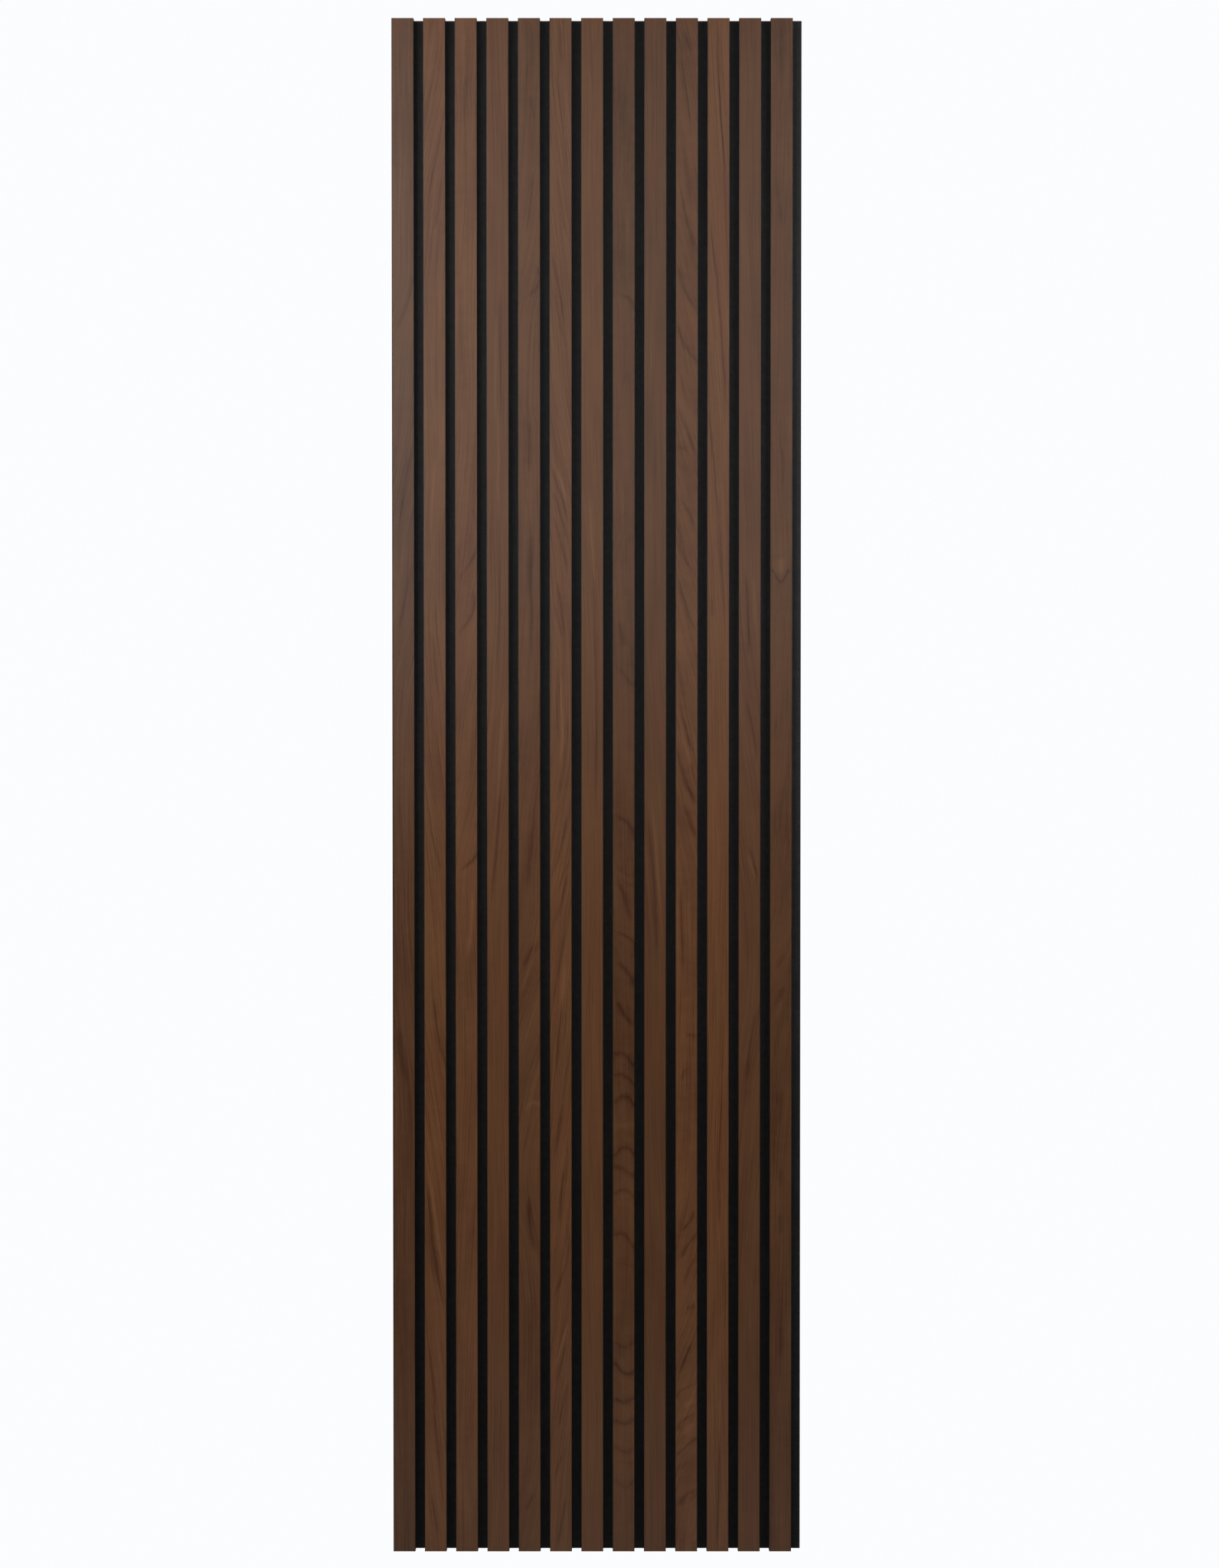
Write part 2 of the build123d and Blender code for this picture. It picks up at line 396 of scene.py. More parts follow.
            ([(777, -7.8), (747, -3.9), (718, -1)], 1.4, 0.5), ([(293, 0.5), (272, -0.5)], 2.4, -1.1),
            ([(277, -10.2), (263, -1.5), (276, 7.8)], 1.4, 1.3), ([(-210, 4.4), (-229, -4.9)], 1.1, 0.7),
            ([(-253, 2.9), (-277, -7.3)], 1.3, 0.6), ([(-270, 1.9), (-290, -5.8)], 1.2, -0.7),
            ([(-382, 1), (-430, -1.5)], 1.2, 0.8), ([(-541, -0.2), (-571, -0.2)], 1.5, 0.7),
            ([(-485, -0.2), (-508, -0.2)], 1.3, 0.7), ([(-687, 1), (-726, 1)], 1.3, 0.5),
        ],
    ),
]

# Grain lines: how far and how finely they are followed, and the slow waves added to them
SLAT_LENGTH = 1950.0
GRAIN_STEP = 5.0
GRAIN_REACH = 1100.0
LEAN_WAVES = [(310, 0.012), (140, 0.014), (60, 0.010)]
DEPTH_WAVES = [(260, 1.4), (95, 0.8), (38, 0.35)]
DRAW_START = 100
SEED_STEP = 11.7

# Wood noises, drawn out along the grain: scale across it, scale along it, detail and shift
STREAKS = dict(
    waver=(0.10, 0.020, 2.0, 3.0),
    blotch=(0.035, 0.007, 2.0, 5.0),
    wide=(0.45, 0.008, 2.0, 1.0),
    medium=(1.0, 0.012, 2.0, 4.0),
    fine=(2.4, 0.022, 2.0, 0.0),
    curl=(0.06, 0.08, 2.0, 7.0),
    pores=(4.0, 0.12, 1.0, 9.0),
    wander=(0.08, 0.035, 2.0, 13.0),
    blush=(0.07, 0.006, 2.0, 15.0),
)

# Patterns in the wood: name, weight, and which of the slat's own strengths it is multiplied by
LIGHT_AND_DARK = [
    ("blotch", 0.62, "blotch"),
    ("wide", 0.50, None),
    ("medium", 0.50, "lines"),
    ("fine", 0.40, "lines"),
    ("curl", 0.26, "curl"),
]
DARK_ONLY = [("late", -0.18, "rings"), ("pores", -0.20, "lines")]
RELIEF = [("fine", 0.35, None), ("pores", -0.5, "lines"), ("late", 0.2, None)]
RELIEF_DEPTH = 0.02 * MM
WOOD_MIDDLE = 0.58

# Year rings: how much they waver, where their dark part begins and ends, and how years differ
RING_WAVER = 1.6
LATE_RISE = (0.35, 0.90)
LATE_FALL = (1.0, 0.93)
YEAR_SCALE = 5.31
YEAR_ALONG = 0.006
YEAR_STEP = (0.3, 0.7)
PORE_STEP = (0.60, 0.74)

# Wood colour: green and blue in the wide blushes as (start, weight), and the darker slat edges
BLUSH_GREEN = (0.885, 0.22)
BLUSH_BLUE = (0.93, 0.14)
WARMTH_IN_GREEN = 0.3
EDGE_FADE = (12.6, 14.0)
EDGE_SHADE = 0.6

# Marks: how they wander and fade out, and the (half widths, weight) of their line and their haze
WANDER = 5.0
WANDER_ACROSS = 0.6
MARK_ENDS_ALONG = (1.4, 0.2)
MARK_ENDS_ACROSS = (2.8, 1.0)
MARK_CORE = (2.2, 0.55)
MARK_HAZE = (5.5, 0.5)
STROKE_SHADE = -0.30

# Felt look: the directions of its fibres in degrees, the scales of its noises, and its surface
FIBRE_DIRECTIONS = (12, 57, 101, 149)
FIBRE_SCALE = (2.6, 0.9, 0.22)
FELT_CLUMPS = 0.16
FELT_WIDE = 0.012
FELT_SHADES = [
    (0.0, (0.0012, 0.0011, 0.0011)),
    (0.5, (0.0036, 0.0034, 0.0032)),
    (1.0, (0.0125, 0.0122, 0.0118)),
]
FELT_ROUGHNESS = (0.32, 0.2)
FELT_SPECULAR = 0.15
FELT_RELIEF = 0.35 * MM

# Board look: the scales of its noises, and its surface
BOARD_FLUFF = (1.1, 1.1, 0.5)
BOARD_SAW_LINES = (0.15, 2.4, 0.15)
BOARD_WIDE = 0.02
BOARD_SHADES = [
    (0.0, (0.0050, 0.0047, 0.0046)),
    (0.5, (0.0080, 0.0076, 0.0073)),
    (1.0, (0.0150, 0.0142, 0.0136)),
]
BOARD_ROUGHNESS = 0.78
BOARD_SPECULAR = 0.08

# Wire look: the scales of its noises, and its surface
WIRE_DRAWN = (0.5, 0.5, 9.0)
WIRE_BLOOM = 0.6
WIRE_SHADES = [(0.0, (0.30, 0.30, 0.29)), (0.5, (0.52, 0.52, 0.51)), (1.0, (0.70, 0.70, 0.69))]
WIRE_METALLIC = 0.95
WIRE_ROUGHNESS = 0.42


class Shader:
    """The nodes of one material or world, made by short calls that each give back an output socket."""

    def __init__(self, owner):
        owner.use_nodes = True
        self.owner = owner
        self.tree = owner.node_tree
        self.tree.nodes.clear()

    def node(self, kind, **settings):
        """A new node of this kind with these settings."""
        made = self.tree.nodes.new("ShaderNode" + kind)
        for name, value in settings.items():
            setattr(made, name, value)
        return made

    def put(self, socket, value):
        """Joins an input to a socket, or sets it to a plain value."""
        if isinstance(value, bpy.types.NodeSocket):
            self.tree.links.new(value, socket)
        else:
            socket.default_value = value

    def math(self, operation, *values, clamp=False):
        """The result of one sum on sockets or plain values."""
        made = self.node("Math", operation=operation, use_clamp=clamp)
        for socket, value in zip(made.inputs, values):
            self.put(socket, value)
        return made.outputs[0]

    def total(self, start, *terms):
        """start plus each term's socket times its weight."""
        value = start
        for socket, weight in terms:
            value = self.math("MULTIPLY_ADD", socket, weight, value)
        return value

    def vector(self, x, y, z):
        """Three sockets or plain values as one vector."""
        made = self.node("CombineXYZ")
        for socket, value in zip(made.inputs, (x, y, z)):
            self.put(socket, value)
        return made.outputs[0]

    def parts(self, vector):
        """The x, y and z of a vector."""
        made = self.node("SeparateXYZ")
        self.put(made.inputs[0], vector)
        return made.outputs

    def place_mm(self):
        """The point on the object, in millimetres in the part's frame."""
        return self.scaled(self.node("TexCoord").outputs["Object"], 1 / MM)

    def turned(self, vector, scale, turn=(0.0, 0.0, 0.0)):
        """The vector turned by angles in degrees, then scaled by three numbers."""
        made = self.node("Mapping", vector_type="POINT")
        turned = self.node("VectorRotate", rotation_type="EULER_XYZ")
        self.put(turned.inputs["Vector"], vector)
        turned.inputs["Rotation"].default_value = [math.radians(angle) for angle in turn]
        self.put(made.inputs["Vector"], turned.outputs[0])
        made.inputs["Scale"].default_value = scale
        return made.outputs[0]

    def noise(self, vector, scale=1.0, detail=2.0, roughness=0.5):
        """Soft noise between 0 and 1, in three dimensions."""
        made = self.node("TexNoise", noise_dimensions="3D")
        self.put(made.inputs["Vector"], vector)
        made.inputs["Scale"].default_value = scale
        made.inputs["Detail"].default_value = detail
        made.inputs["Roughness"].default_value = roughness
        return made.outputs["Fac"]

    def step(self, value, low, high):
        """0 at low and 1 at high, smooth between; high may be the smaller one."""
        made = self.node("MapRange", interpolation_type="SMOOTHSTEP")
        for name, given in (("Value", value), ("From Min", low), ("From Max", high)):
            self.put(made.inputs[name], given)
        return made.outputs[0]

    def held(self, value):
        """The value held between -1 and 1."""
        made = self.node("Clamp")
        self.put(made.inputs["Value"], value)
        made.inputs["Min"].default_value = -1.0
        return made.outputs[0]

    def shades(self, value, stops):
        """A colour from (place, linear colour) stops."""
        made = self.node("ValToRGB")
        ramp = made.color_ramp
        while len(ramp.elements) < len(stops):
            ramp.elements.new(0.5)
        for element, (place, colour) in zip(ramp.elements, stops):
            element.position = place
            element.color = (*colour, 1.0)
        self.put(made.inputs[0], value)
        return made.outputs[0]

    def scaled(self, vector, factor):
        """The vector times a number."""
        made = self.node("VectorMath", operation="SCALE")
        self.put(made.inputs[0], vector)
        self.put(made.inputs["Scale"], factor)
        return made.outputs[0]

    def bump(self, height, depth):
        """The surface direction under relief of this height, in metres at full depth."""
        made = self.node("Bump")
        made.inputs["Distance"].default_value = depth
        self.put(made.inputs["Height"], height)
        return made.outputs[0]

    def finish(self, **inputs):
        """Principled surface with these inputs; underscores in the names stand for spaces."""
        surface = self.node("BsdfPrincipled")
        for name, value in inputs.items():
            self.put(surface.inputs[name.replace("_", " ")], value)
        output = self.node("OutputMaterial")
        self.tree.links.new(surface.outputs[0], output.inputs[0])
        return self.owner


def new_shader(name):
    """An empty material of this name, ready for its nodes."""
    return Shader(bpy.data.materials.new(name))


def smooth_through(heights, points):
    """Values at these heights on a smooth line through (height, value) points, or one constant."""
    if len(points) == 1:
        return np.full_like(heights, float(points[0]))
    points = sorted(points)
    known = np.array([height for height, _ in points], float)
    values = np.array([value for _, value in points], float)
    place = np.clip(np.searchsorted(known, heights) - 1, 0, len(known) - 2)
    share = np.clip((heights - known[place]) / (known[place + 1] - known[place]), 0, 1)
    share = share * share * (3 - 2 * share)
    return values[place] * (1 - share) + values[place + 1] * share


def ripples(heights, draw, waves):
    """A sum of slow waves of the given (length, size), each started at random."""
    total = np.zeros_like(heights)
    for length, size in waves:
        turns = heights / (length * draw.uniform(0.85, 1.15)) + draw.uniform(0, 1)
        total += size * np.sin(2 * math.pi * turns)
    return total


def grain_field(slat, across, along, draw):
    """Fibre line in mm, ring number and height in mm, for points across and along one slat."""
    heights = np.arange(-GRAIN_REACH, GRAIN_REACH + GRAIN_STEP, GRAIN_STEP)
    lean = smooth_through(heights, slat["lean"])
    lean += ripples(heights, draw, LEAN_WAVES)
    drift = np.cumsum(lean) * GRAIN_STEP
    drift = np.interp(along, heights, drift - drift[len(drift) // 2])
    depth = smooth_through(along, slat["depth"])
    depth = depth + ripples(along, draw, DEPTH_WAVES)
    sideways = across + slat["follow"] * drift - smooth_through(along, slat["pith"])
    rings = np.hypot(sideways, depth) / slat["ring"]
    return np.stack([across + drift, rings, along], -1)


def make_object(name, points, faces):
    """A mesh object from points and faces, shaded smooth."""
    mesh = bpy.data.meshes.new(name)
    mesh.from_pydata([tuple(point) for point in points], [], faces)
    mesh.update()
    mesh.shade_smooth()
    made = bpy.data.objects.new(name, mesh)
    bpy.context.scene.collection.objects.link(made)
    return made


def add_vectors(made, name, values):
    """A vector for each point of the mesh, under this name."""
    layer = made.data.attributes.new(name, "FLOAT_VECTOR", "POINT")
    layer.data.foreach_set("vector", np.asarray(values, np.float32).ravel())


def add_flat_layout(made, corners):
    """The mesh laid flat for baking: one (u, v) for each face corner."""
    layer = made.data.uv_layers.new(name="OFBake")
    layer.data.foreach_set("uv", np.asarray(corners, np.float32).ravel())


def dress(made, node, material):
    """The object stands for a CAD node, in this slot and material."""
    made.data.materials.append(material)
    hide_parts(node)
    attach(made, BODY)


def veneer_section(low, high):
    """Points (x, y) of a veneer's section, from its back left corner over the front to its back right."""
    turns = np.linspace(0, math.pi / 2, ARRIS_STEPS + 1)
    bend_x = ARRIS * (1 - np.cos(turns))
    bend_y = ARRIS * (1 - np.sin(turns))
    left = [(low.x + x, low.y + y) for x, y in zip(bend_x, bend_y)]
    right = [(high.x - x, low.y + y) for x, y in zip(bend_x, bend_y)][::-1]
    flat_left = low.x + ARRIS + ARRIS_HOLD
    flat_right = high.x - ARRIS - ARRIS_HOLD
    front = [(x, low.y) for x in np.linspace(flat_left, flat_right, VENEER_COLUMNS + 1)]
    return np.array([(low.x, high.y), *left, *front, *right, (high.x, high.y)])


def veneer_layout(section, rows, faces_per_row):
    """(u, v) of every face corner: the front folded into strips, the back and the ends beside them."""
    lengths = np.hypot(*np.diff(section, axis=0).T)
    reach = np.concatenate([[0], np.cumsum(lengths)])
    strip_width = reach[-1] + VENEER_MARGIN
    row_height = (rows[-1] - rows[0]) / (len(rows) - 1)
    corners = []
    for row in range(len(rows) - 1):
        left = VENEER_MARGIN + (row // ROWS_PER_STRIP) * strip_width
        low = VENEER_MARGIN + (row % ROWS_PER_STRIP) * row_height
        high = low + row_height
        for column in range(faces_per_row - 1):
            u0 = left + reach[column]
            u1 = left + reach[column + 1]
            corners += [(u0, low), (u1, low), (u1, high), (u0, high)]
        u0 = VENEER_MARGIN + VENEER_STRIPS * strip_width + VENEER_MARGIN
        v0 = VENEER_MARGIN + (rows[row] - rows[0]) / VENEER_STRIPS
        v1 = VENEER_MARGIN + (rows[row + 1] - rows[0]) / VENEER_STRIPS
        u1 = u0 + VENEER_BACK_WIDTH
        corners += [(u1, v0), (u0, v0), (u0, v1), (u1, v1)]
    end_low = VENEER_MARGIN * 2 + ROWS_PER_STRIP * row_height
    flat = section - section.min(0)
    corners += [(x + VENEER_MARGIN, y + end_low) for x, y in flat[::-1]]
    corners += [(x + 2 * VENEER_MARGIN + flat[-1, 0], y + end_low) for x, y in flat]
    return np.array(corners) / VENEER_SHEET


def veneer_faces(rows, count):
    """Faces round the section from each row of points to the next, then the bottom and top ends."""
    faces = []
    for row in range(rows - 1):
        start = row * count
        for column in range(count - 1):
            first = start + column
            faces.append((first, first + 1, first + 1 + count, first + count))
        faces.append((start + count - 1, start, start + count, start + 2 * count - 1))
    last = (rows - 1) * count
    faces.append(tuple(range(count))[::-1])
    faces.append(tuple(last + index for index in range(count)))
    return faces


def build_veneer(number, slat):
    """The wood veneer on one slat's face, with its long front edges eased."""
    node = f"veneer_{number:02d}"
    low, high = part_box(node)
    section = veneer_section(low, high)
    rows = np.linspace(low.z, high.z, VENEER_STRIPS * ROWS_PER_STRIP + 1)
    points = np.array([(x, y, z) for z in rows for x, y in section])
    made = make_object(f"wood_face_{number:02d}", points, veneer_faces(len(rows), len(section)))
    made.data.set_sharp_from_angle(angle=SHARP_ANGLE)
    across = (points[:, 0] - (low.x + high.x) / 2) / MM
    along = points[:, 2] / MM
    draw = np.random.default_rng(DRAW_START + number)
    add_vectors(made, "grain", grain_field(slat, across, along, draw))
    add_flat_layout(made, veneer_layout(section, rows, len(section)))
    dress(made, node, wood_material(number, slat, (low.x + high.x) / 2 / MM))


def stroke_curve(points):
    """A mark's line: whether it runs upright, its middle and reach, and its bend, slope and start."""
    heights, sides = np.array(points, float).T
    upright = np.ptp(heights) > np.ptp(sides)
    runs, rises = (heights, sides) if upright else (sides, heights)
    middle = (runs.max() + runs.min()) / 2
    reach = (runs.max() - runs.min()) / 2
    curve = np.polyfit((runs - middle) / reach, rises, min(2, len(points) - 1))
    bend, slope, start = [0.0] * (3 - len(curve)) + [float(part) for part in curve]
    return upright, middle, reach, bend, slope, start


def stroke_mark(shader, points, half_width, across, along):
    """One mark: strongest on its line, and faded to its ends and its sides."""
    upright, middle, reach, bend, slope, start = stroke_curve(points)
    run, rise = (along, across) if upright else (across, along)
    share = shader.math("MULTIPLY_ADD", run, 1 / reach, -middle / reach)
    square = shader.math("MULTIPLY", share, share)
    held = shader.held(share)
    line = shader.math("MULTIPLY_ADD", held, slope, start)
    if bend:
        line = shader.math("MULTIPLY_ADD", shader.math("MULTIPLY", held, held), bend, line)
    away = shader.math("ABSOLUTE", shader.math("SUBTRACT", rise, line))
    body = shader.step(square, *(MARK_ENDS_ALONG if upright else MARK_ENDS_ACROSS))
    core = shader.step(away, MARK_CORE[0] * half_width, 0.0)
    haze = shader.step(away, MARK_HAZE[0] * half_width, 0.0)
    mark = shader.math("MULTIPLY_ADD", haze, MARK_HAZE[1], shader.math("MULTIPLY", core, MARK_CORE[1]))
    return shader.math("MULTIPLY", mark, body)


def stroke_terms(shader, slat, wander, across, along):
    """Each mark of a slat as a (socket, weight) pair, wandering a little off its line."""
    wander = shader.math("MULTIPLY_ADD", wander, WANDER, -WANDER / 2)
    across = shader.math("MULTIPLY_ADD", wander, WANDER_ACROSS, across)
    along = shader.math("ADD", along, wander)
    return [
        (stroke_mark(shader, points, half_width, across, along), STROKE_SHADE * power)
        for points, half_width, power in slat["strokes"]
    ]


def slat_shades(slat):
    """The wood's shades in one slat's tone and warmth."""
    tint = (1.0, 1.0 - WARMTH_IN_GREEN * slat["warmth"], 1.0 - slat["warmth"])
    plain = [slat["tone"] * base * shift for base, shift in zip(WOOD_COLOUR, tint)]
    return [(place, [base * part for base, part in zip(plain, shade)]) for place, shade in WOOD_SHADES]


def streak_noises(shader, fibre, along, seed):
    """Every noise of STREAKS, by its name."""
    noises = {}
    for name, (across_scale, along_scale, detail, shift) in STREAKS.items():
        place = shader.vector(
            shader.math("MULTIPLY", fibre, across_scale),
            shader.math("MULTIPLY", along, along_scale),
            seed + shift,
        )
        noises[name] = shader.noise(place, detail=detail)
    return noises


def late_wood(shader, ring, along, seed):
    """The dark late part of each year's ring, stronger in some years than in others."""
    phase = shader.math("FRACT", ring)
    late = shader.math("MULTIPLY", shader.step(phase, *LATE_RISE), shader.step(phase, *LATE_FALL))
    year = shader.vector(
        shader.math("MULTIPLY", shader.math("FLOOR", ring), YEAR_SCALE),
        shader.math("MULTIPLY", along, YEAR_ALONG),
        seed,
    )
    return shader.math("MULTIPLY", late, shader.step(shader.noise(year, detail=0.0), *YEAR_STEP))


def pattern_terms(slat, patterns, table):
    """(socket, weight) for each pattern of a table, at the strengths of one slat."""
    return [
        (patterns[name], weight * (slat[strength] if strength else 1))
        for name, weight, strength in table
    ]


def wood_shade(shader, slat, patterns, across, along):
    """Where each point lies on the wood's shades, from 0 in the darkest to 1 in the lightest."""
    light_and_dark = pattern_terms(slat, patterns, LIGHT_AND_DARK)
    dark_only = pattern_terms(slat, patterns, DARK_ONLY)
    marks = stroke_terms(shader, slat, patterns["wander"], across, along)
    middle = WOOD_MIDDLE - 0.5 * sum(weight for _, weight in light_and_dark)
    return shader.total(middle, *light_and_dark, *dark_only, *marks)


def wood_hue(shader, blush):
    """A tint that makes the wood a little more or less red in wide patches."""
    green, blue = [shader.total(start, (blush, weight)) for start, weight in (BLUSH_GREEN, BLUSH_BLUE)]
    return shader.vector(1.0, green, blue)


def wood_fading(shader, slat, across, along):
    """How light the face is: darker at its long edges, and shifting from head to foot."""
    edge = shader.step(shader.math("ABSOLUTE", across), *EDGE_FADE)
    fading = shader.math("MULTIPLY_ADD", along, slat["fall"] / SLAT_LENGTH, 1.0)
    return shader.math("MULTIPLY", fading, shader.total(1.0, (edge, -EDGE_SHADE)))


def wood_material(number, slat, centre):
    """Stained open-grained wood under a satin lacquer, for the slat with this centre line."""
    shader = new_shader(f"stained_wood_{number:02d}")
    fibre, ring, along = shader.parts(shader.node("Attribute", attribute_name="grain").outputs["Vector"])
    across = shader.math("SUBTRACT", shader.parts(shader.place_mm())[0], centre)
    seed = number * SEED_STEP
    patterns = streak_noises(shader, fibre, along, seed)
    ring = shader.total(ring, (patterns["waver"], RING_WAVER))
    patterns["late"] = late_wood(shader, ring, along, seed)
    patterns["pores"] = shader.step(patterns["pores"], *PORE_STEP)
    coloured = shader.node("VectorMath", operation="MULTIPLY")
    shade = wood_shade(shader, slat, patterns, across, along)
    shader.put(coloured.inputs[0], shader.shades(shade, slat_shades(slat)))
    shader.put(coloured.inputs[1], wood_hue(shader, patterns["blush"]))
    relief = shader.total(0.0, *pattern_terms(slat, patterns, RELIEF))
    return shader.finish(
        Base_Color=shader.scaled(coloured.outputs[0], wood_fading(shader, slat, across, along)),
        Roughness=WOOD_ROUGHNESS,
        Specular_IOR_Level=WOOD_SPECULAR,
        Normal=shader.bump(relief, RELIEF_DEPTH),
    )


def felt_material():
    """Black needle felt: tangled fibres that run in every direction over the sheet."""
    shader = new_shader("needle_felt")
    place = shader.place_mm()
    tangle = [
        shader.noise(shader.turned(place, FIBRE_SCALE, (0, angle, 0)), detail=2.0)
        for angle in FIBRE_DIRECTIONS
    ]
    fibres = tangle[0]
    for layer in tangle[1:]:
        fibres = shader.math("MAXIMUM", fibres, layer)
    clumps = shader.noise(place, scale=FELT_CLUMPS, detail=3.0)
    wide = shader.noise(place, scale=FELT_WIDE, detail=2.0)
    shade = shader.total(-0.82, (fibres, 1.5), (clumps, 0.6), (wide, 0.35))
    plain, more = FELT_ROUGHNESS
    return shader.finish(
        Base_Color=shader.shades(shade, FELT_SHADES),
        Roughness=shader.total(plain, (fibres, more)),
        Specular_IOR_Level=FELT_SPECULAR,
        Normal=shader.bump(shader.total(0.0, (fibres, 1.0), (clumps, 0.6)), FELT_RELIEF),
    )


def board_material():
    """Black fibreboard: smooth faces, fluffier on the sawn ends."""
    shader = new_shader("black_fibreboard")
    place = shader.place_mm()
    fluff = shader.noise(shader.turned(place, BOARD_FLUFF), detail=4.0, roughness=0.65)
    saw = shader.noise(shader.turned(place, BOARD_SAW_LINES), detail=2.0)
    wide = shader.noise(place, scale=BOARD_WIDE, detail=2.0)
    facing = shader.math("ABSOLUTE", shader.parts(shader.node("NewGeometry").outputs["Normal"])[2])
    grit = shader.math("MULTIPLY", saw, facing)
    shade = shader.total(-0.25, (fluff, 1.0), (wide, 0.4), (grit, 0.5))
    return shader.finish(
        Base_Color=shader.shades(shade, BOARD_SHADES),
        Roughness=BOARD_ROUGHNESS,
        Specular_IOR_Level=BOARD_SPECULAR,
    )


def wire_material():
    """Galvanised staple wire, drawn lengthwise and a little dull."""
    shader = new_shader("galvanised_wire")
    place = shader.place_mm()
    drawn = shader.noise(shader.turned(place, WIRE_DRAWN), detail=3.0)
    bloom = shader.noise(place, scale=WIRE_BLOOM, detail=3.0)
    shade = shader.total(-0.1, (drawn, 0.7), (bloom, 0.5))
    return shader.finish(
        Base_Color=shader.shades(shade, WIRE_SHADES),
        Metallic=WIRE_METALLIC,
        Roughness=WIRE_ROUGHNESS,
    )


def felt_lines(low, high, centres, row_heights):
    """The columns (x) and rows (z) of the felt's grid, closer together round the staples."""
    near = np.array(COLUMNS_BY_STAPLE) * MM
    beside = np.array(COLUMNS_BY_GAP) * MM
    xs = {low.x, high.x}
    for centre in centres:
        xs.update(centre + near)
        xs.update(centre - near)
        xs.update(centre + beside)
    close = np.array(ROWS_BY_STAPLE) * MM
    held = np.linspace(low.z, high.z, FELT_HELD_ROWS)
    zs = set(held) | set(np.linspace(low.z, high.z, FELT_ROWS))
    for height in row_heights:
        zs = {z for z in zs if abs(z - height) > STAPLE_CLEARANCE or z in held}
        zs.update(height + close)
        zs.update(height - close)
    inside = sorted(x for x in xs if low.x <= x <= high.x)
    return thinned(inside), thinned(sorted(zs))


def thinned(values):
    """Sorted values without near repeats."""
    kept = [values[0]]
    for value in values[1:]:
        if value - kept[-1] > FELT_LEAST_STEP:
            kept.append(value)
    return np.array(kept)


def felt_unevenness(x, z):
    """Slow crossing waves over the sheet, from -1 to 1."""
    wave, bend = FELT_WAVES_ACROSS
    across = np.sin(x / wave + 2 * np.sin(z / bend))
    wave, bend = FELT_WAVES_ALONG
    return across * np.sin(z / wave + np.sin(x / bend))


def felt_dip(x, z, centres, row_heights):
    """1 at each staple's crown, falling to 0 round it."""
    beside = np.min([np.maximum(np.abs(x - centre) - STAPLE_HALF_CROWN, 0) for centre in centres], 0)
    above = np.min([np.abs(z - height) for height in row_heights], 0)
    reach = np.hypot(beside, above) / FELT_DIMPLE_REACH
    return np.exp(-reach ** FELT_DIMPLE_POWER * FELT_DIMPLE_FALL)


def felt_open_share(from_slat):
    """0 behind and beside a slat, rising to 1 in the middle of a gap."""
    share = np.clip(from_slat / FELT_BULGE_REACH, 0, 1)
    return share * (2 - share)


def build_felt():
    """The felt backing: pressed in round each staple, slightly proud in the gaps, edges softened."""
    low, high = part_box("felt_backing")
    slat_boxes = [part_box(f"slat_core_{number:02d}") for number in range(1, len(SLATS) + 1)]
    centres = [(near.x + far.x) / 2 for near, far in slat_boxes]
    ends = low.z + STAPLE_END_DISTANCE, high.z - STAPLE_END_DISTANCE
    row_heights = np.linspace(*ends, STAPLE_ROWS)
    x, z = np.meshgrid(*felt_lines(low, high, centres, row_heights))
    uneven = felt_unevenness(x, z)
    from_slat = np.min([np.abs(x - centre) - SLAT_HALF_WIDTH for centre in centres], 0)
    front = low.y - FELT_BULGE * felt_open_share(from_slat) * (0.8 + 0.2 * uneven)
    dip = felt_dip(x, z, centres, row_heights)
    back = high.y - FELT_DIMPLE * dip - FELT_UNEVEN * (0.5 + 0.5 * uneven)
    edge = np.minimum(np.minimum(x - low.x, high.x - x), np.minimum(z - low.z, high.z - z))
    soften = FELT_EDGE_ROUND * np.exp(-edge / FELT_EDGE_REACH)
    front = front + soften * (from_slat > 0)
    make_felt_object(np.stack([x, front, z], -1), np.stack([x, back - soften, z], -1))


def make_felt_object(front, back):
    """Joins the front and back grids of points by a band round the edge."""
    rows, columns = front.shape[:2]
    front_index = np.arange(rows * columns).reshape(rows, columns)
    back_index = front_index + rows * columns
    points = np.concatenate([front.reshape(-1, 3), back.reshape(-1, 3)])
    faces = grid_faces(front_index) + grid_faces(back_index[:, ::-1])
    loop = edge_loop(front_index)
    back_loop = edge_loop(back_index)
    for first, second, third, fourth in zip(loop, np.roll(loop, -1), np.roll(back_loop, -1), back_loop):
        faces.append((int(second), int(first), int(fourth), int(third)))
    made = make_object("felt_sheet", points, faces)
    made.data.set_sharp_from_angle(angle=SHARP_ANGLE)
    dress(made, "felt_backing", felt_material())


def grid_faces(index):
    """Four-cornered faces over a grid of point numbers."""
    corners = np.stack([index[:-1, :-1], index[:-1, 1:], index[1:, 1:], index[1:, :-1]], -1)
    return [tuple(int(corner) for corner in face) for face in corners.reshape(-1, 4)]


def edge_loop(index):
    """The point numbers round the edge of a grid, in order."""
    return np.concatenate([index[0, :-1], index[:-1, -1], index[-1, :0:-1], index[:0:-1, 0]])


def paint_kept_nodes():
    """Materials for the CAD nodes that stay as they are."""
    board = board_material()
    wire = wire_material()
    for name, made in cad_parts.items():
        if name.startswith("slat_core_"):
            paint(made, board)
        elif name == "staples":
            paint(made, wire)


def paint(made, material):
    """Puts one material in every slot of an object."""
    made.data.materials.clear()
    made.data.materials.append(material)


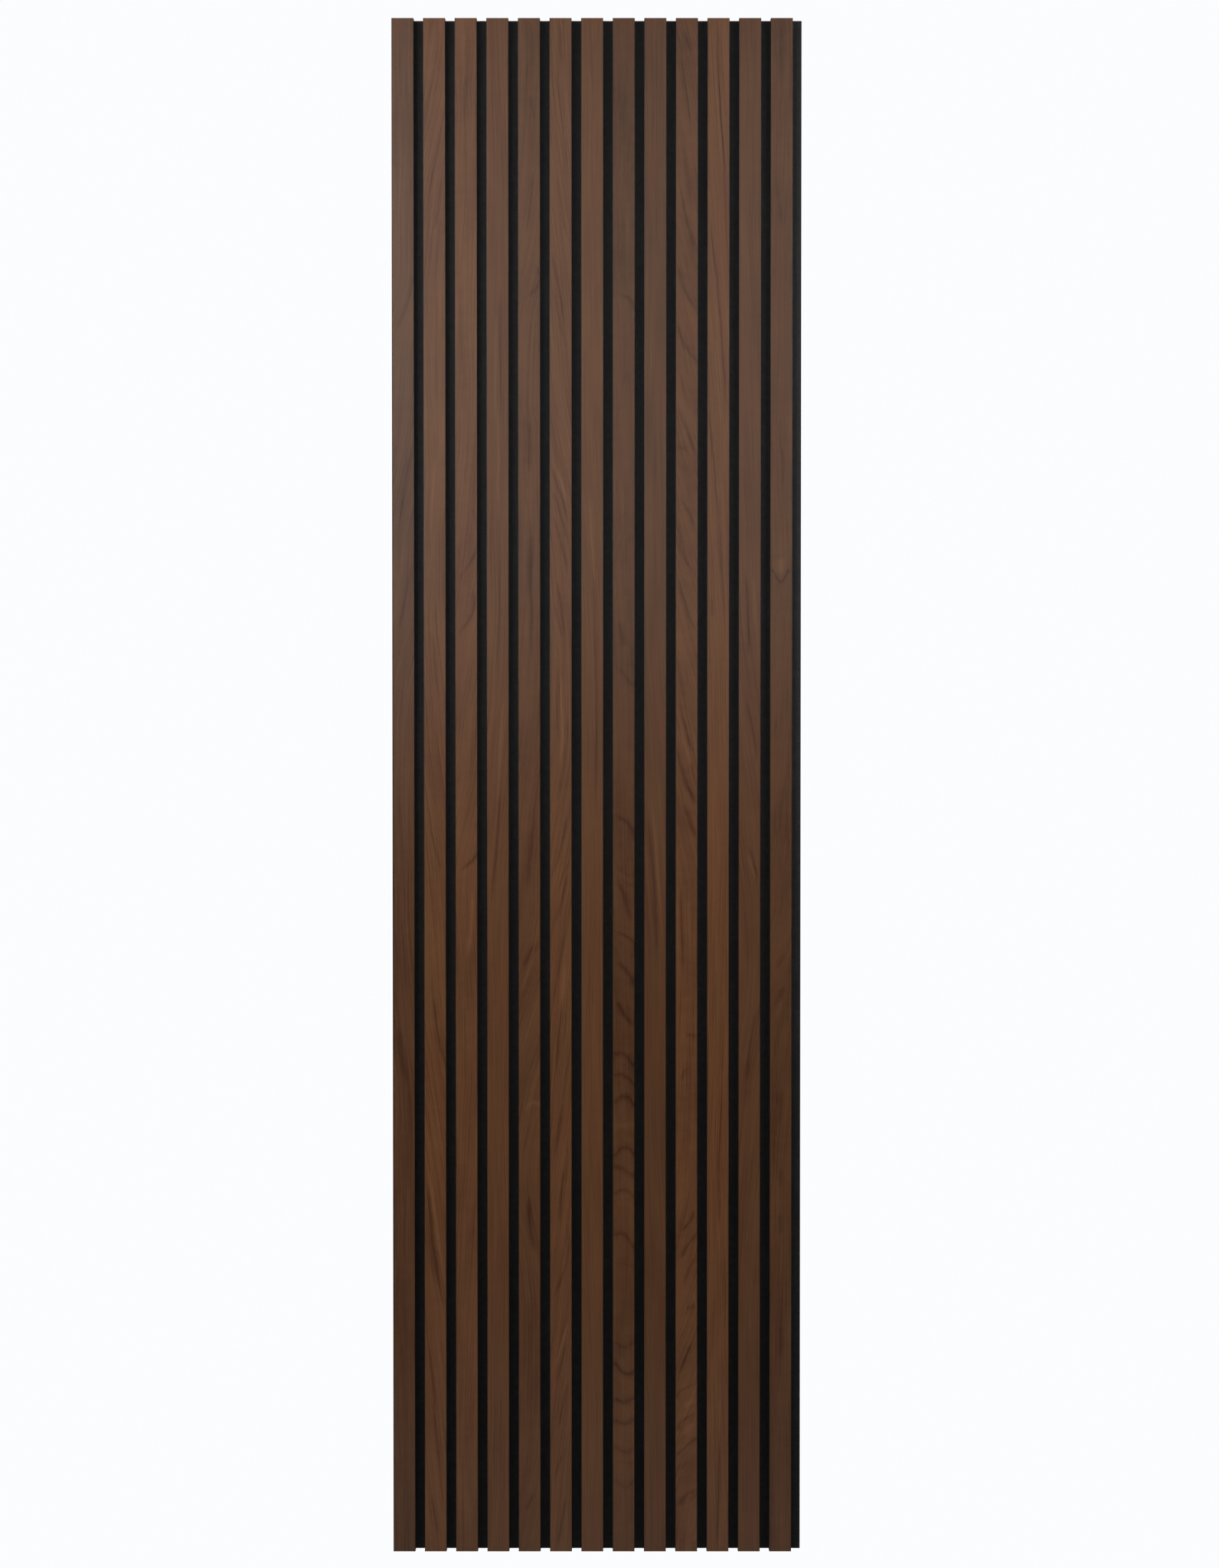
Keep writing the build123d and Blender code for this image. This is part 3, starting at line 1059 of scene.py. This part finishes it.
def aim(made, place, target):
    """Puts a camera or lamp at a place, facing a target."""
    made.location = place
    made.rotation_euler = (Vector(target) - Vector(place)).to_track_quat("-Z", "Y").to_euler()
    bpy.context.scene.collection.objects.link(made)


def add_softbox(name, place, target, width, height, watts, spread):
    """A rectangular studio lamp that the camera doesn't see."""
    light = bpy.data.lights.new(name, "AREA")
    light.shape = "RECTANGLE"
    light.size = width
    light.size_y = height
    light.energy = watts
    light.spread = math.radians(spread)
    lamp = bpy.data.objects.new(name, light)
    aim(lamp, place, target)
    lamp.visible_camera = False


def add_camera():
    """The camera of the photo: level with the panel's middle, straight on."""
    face = CAD_BOX[0].y
    camera = bpy.data.cameras.new("photo_camera")
    camera.sensor_width = SENSOR
    camera.lens = SENSOR * PHOTO_PIXELS_PER_METRE * CAMERA_DISTANCE / PHOTO_HEIGHT
    made = bpy.data.objects.new("photo_camera", camera)
    aim(made, (CAMERA_RIGHT, face - CAMERA_DISTANCE, CAMERA_UP), (CAMERA_RIGHT, face, CAMERA_AIM_UP))
    bpy.context.scene.camera = made


def add_floor():
    """A pale floor below the panel, which keeps its shadow."""
    height = CAD_BOX[0].z - FLOOR_DROP
    half = FLOOR_HALF
    points = [(-half, -half, height), (half, -half, height), (half, half, height), (-half, half, height)]
    floor = make_object("studio_floor", points, [(0, 1, 2, 3)])
    floor.data.materials.append(floor_material())


def seen_directly(shader):
    """Two sockets: 1 for camera rays, and 1 for rays that are mirrored or pass through glass."""
    path = shader.node("LightPath").outputs
    mirrored = shader.math("ADD", path["Is Glossy Ray"], path["Is Transmission Ray"], clamp=True)
    return path["Is Camera Ray"], mirrored


def floor_material():
    """Pale floor: mostly plain white to the camera, and a plain surface to the light."""
    shader = new_shader("studio_floor")
    camera_ray, mirrored = seen_directly(shader)
    place = shader.node("TexCoord").outputs["Object"]
    behind = shader.step(shader.parts(place)[1], *FLOOR_BEHIND)
    seen = shader.math("MULTIPLY_ADD", mirrored, behind, camera_ray, clamp=True)
    distance = shader.node("VectorMath", operation="LENGTH")
    shader.put(distance.inputs[0], place)
    far = shader.step(distance.outputs["Value"], *FLOOR_REACH)
    share = shader.math("MULTIPLY_ADD", far, FLOOR_WHITE_FAR - FLOOR_WHITE_NEAR, FLOOR_WHITE_NEAR)
    share = shader.math("MULTIPLY", seen, share)
    matt = shader.node("BsdfDiffuse")
    matt.inputs["Color"].default_value = FLOOR_COLOUR
    white = shader.node("Emission")
    white.inputs["Color"].default_value = BACKGROUND_COLOUR
    mixed = shader.node("MixShader")
    shader.put(mixed.inputs[0], share)
    shader.put(mixed.inputs[1], matt.outputs[0])
    shader.put(mixed.inputs[2], white.outputs[0])
    shader.put(shader.node("OutputMaterial").inputs[0], mixed.outputs[0])
    return shader.owner


def add_world():
    """White where the background is seen, and a low even light otherwise."""
    world = bpy.data.worlds.new("studio_world")
    shader = Shader(world)
    camera_ray, mirrored = seen_directly(shader)
    direction = shader.node("TexCoord").outputs["Generated"]
    behind = shader.step(shader.parts(direction)[1], *WORLD_BEHIND)
    seen = shader.math("MULTIPLY_ADD", mirrored, behind, camera_ray, clamp=True)
    plain = shader.node("Background")
    plain.inputs["Strength"].default_value = WORLD_LEVEL
    white = shader.node("Background")
    white.inputs["Color"].default_value = BACKGROUND_COLOUR
    mixed = shader.node("MixShader")
    shader.put(mixed.inputs[0], seen)
    shader.put(mixed.inputs[1], plain.outputs[0])
    shader.put(mixed.inputs[2], white.outputs[0])
    shader.put(shader.node("OutputWorld").inputs[0], mixed.outputs[0])
    bpy.context.scene.world = world


bpy.context.scene.view_settings.view_transform = "Standard"
add_camera()
add_world()
add_floor()
for lamp in LAMPS:
    add_softbox(*lamp)
for number, slat in enumerate(SLATS, start=1):
    build_veneer(number, slat)
build_felt()
paint_kept_nodes()
